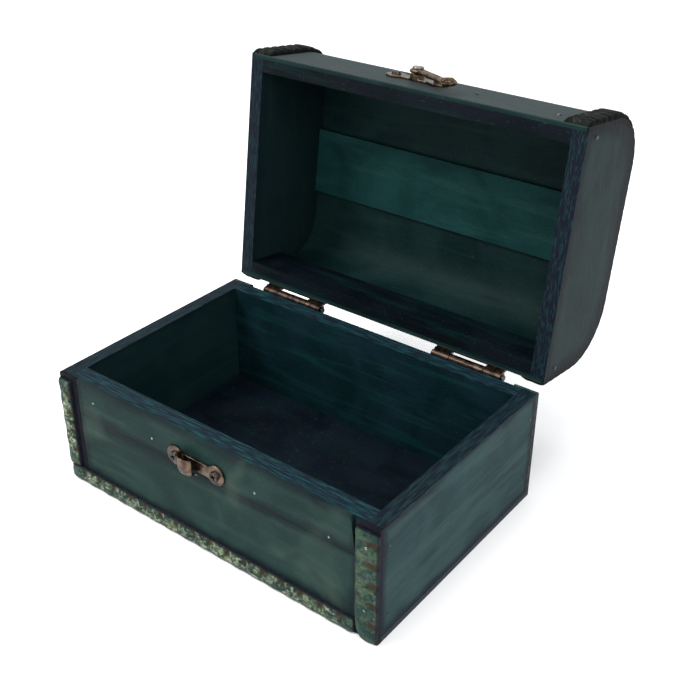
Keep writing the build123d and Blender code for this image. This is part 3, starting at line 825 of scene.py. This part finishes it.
def strap_for(name):
    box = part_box(name)
    low, high = box[0][0], box[1][0]
    finish = Finish("leather_" + name, 0.5)
    finish.shader.inputs["Specular IOR Level"].default_value = 0.03
    moved = finish.node(
        "ShaderNodeVectorMath",
        {"operation": "SUBTRACT"},
        {0: finish.place, 1: (0.0, 0.0786, 0.1035)},
    )
    side = ((finish.x - (low + high) / 2).size()) / ((high - low) / 2)
    ropes = finish.noise(moved, 300.0, 6.0, 1.4)
    blotch = finish.noise(finish.place, 120.0, 4.0, 0.8)
    colour = finish.mix(
        blotch.between(0.38, 0.62), (0.003, 0.004, 0.004, 1.0), (0.009, 0.011, 0.009, 1.0)
    )
    colour = finish.mix(ropes.between(0.54, 0.68) * 0.5, colour, (0.034, 0.038, 0.028, 1.0))
    # Near-black along both edges of the strap: partly painted shade in the join between the strap and the lid, partly
    # the strap's own dark edge.
    colour = finish.mix(side.between(0.74, 0.92) * 0.9, colour, (0.002, 0.002, 0.002, 1.0))
    height = ropes * 0.9
    return finish.paint(colour, 0.50 + blotch * 0.28, height, 0.0005)




def strap_relief(name, thickness=0.0022, pitch=0.0052):
    """Runs the strap over the arch as a ribbed band with rounded folded ends."""
    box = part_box(name)
    left = box[0][0]
    width = box[1][0] - left
    half, top, radius, foot = 0.05085, 0.0992, 0.022, 0.05185
    straight = top - radius - foot
    arc = radius * math.pi / 2
    flat = 2 * (half - radius)
    length = 2 * straight + 2 * arc + flat

    def place(along, across, height):
        if along < straight:
            point, out = (-half, foot + along), (-1.0, 0.0)
        elif along < straight + arc:
            lean = (along - straight) / radius
            out = (-math.cos(lean), math.sin(lean))
            point = (-half + radius + radius * out[0], top - radius + radius * out[1])
        elif along < straight + arc + flat:
            point, out = (-half + radius + along - straight - arc, top), (0.0, 1.0)
        elif along < straight + 2 * arc + flat:
            lean = (along - straight - arc - flat) / radius
            out = (math.sin(lean), math.cos(lean))
            point = (half - radius + radius * out[0], top - radius + radius * out[1])
        else:
            point, out = (half, foot + length - along), (1.0, 0.0)
        closed_y = point[0] + out[0] * height - pin_y
        closed_z = point[1] + out[1] * height - pin_z
        y = closed_y * math.cos(turn) + closed_z * math.sin(turn) + pin_y
        z = -closed_y * math.sin(turn) + closed_z * math.cos(turn) + pin_z
        return (left + across, y, z)

    def height(along, across):
        share = abs(2 * across / width - 1)
        skew = 0.0012 * math.sin(2 * math.pi * across / width)
        beat = abs(math.sin(math.pi * (along + skew) / pitch))
        rib = 1 - 0.42 * (1 - beat) ** 2 * min(1.0, 0.3 + 1.1 * share)
        return thickness * pillow(across, width, 6.0) * pillow(along, length, 90.0) * rib

    made = relief(name + "_relief", place, length, width, height, 0.0004, 18)
    made.data.materials.append(strap_for(name))
    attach(made, "lid")
    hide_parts(name)


strap_relief("lid_strap_left")
strap_relief("lid_strap_right")

# Stage: a pale seamless floor, soft light from the upper left and a fill from the right.
bpy.ops.mesh.primitive_plane_add(size=8.0, location=(0.0, 0.0, -0.0001))
floor = bpy.context.object
floor.name = "floor"
floor_finish = Finish("floor_white", 0.9)
floor_finish.shader.inputs["Base Color"].default_value = (0.92, 0.92, 0.92, 1.0)
floor.data.materials.append(floor_finish.material)

world = bpy.data.worlds.new("studio")
bpy.context.scene.world = world
world.use_nodes = True
world.node_tree.nodes["Background"].inputs["Color"].default_value = (0.97, 0.98, 1.0, 1.0)
world.node_tree.nodes["Background"].inputs["Strength"].default_value = 1.0


def lamp(name, place, aim, size, power):
    light = bpy.data.lights.new(name, "AREA")
    light.shape = "DISK"
    light.size = size
    light.energy = power
    holder = bpy.data.objects.new(name, light)
    bpy.context.collection.objects.link(holder)
    holder.location = place
    direction = Vector(aim) - Vector(place)
    holder.rotation_euler = direction.to_track_quat("-Z", "Y").to_euler()


lamp("key", (-0.5, -0.5, 0.9), (0.0, 0.0, 0.06), 0.45, 9.0)
lamp("fill", (0.8, -0.25, 0.5), (0.0, 0.0, 0.06), 0.6, 4.0)
lamp("top", (0.0, 0.1, 1.1), (0.0, 0.05, 0.06), 0.7, 5.0)

camera_data = bpy.data.cameras.new("camera")
camera_data.sensor_width = 36.0
camera_data.lens = 56.44
camera = bpy.data.objects.new("camera", camera_data)
bpy.context.collection.objects.link(camera)
camera.location = (0.23318, -0.27166, 0.27883)
view_direction = Vector((-0.52944, 0.68251, -0.50386))
camera.rotation_euler = view_direction.to_track_quat("-Z", "Y").to_euler()
bpy.context.scene.camera = camera
bpy.context.scene.view_settings.view_transform = "Standard"
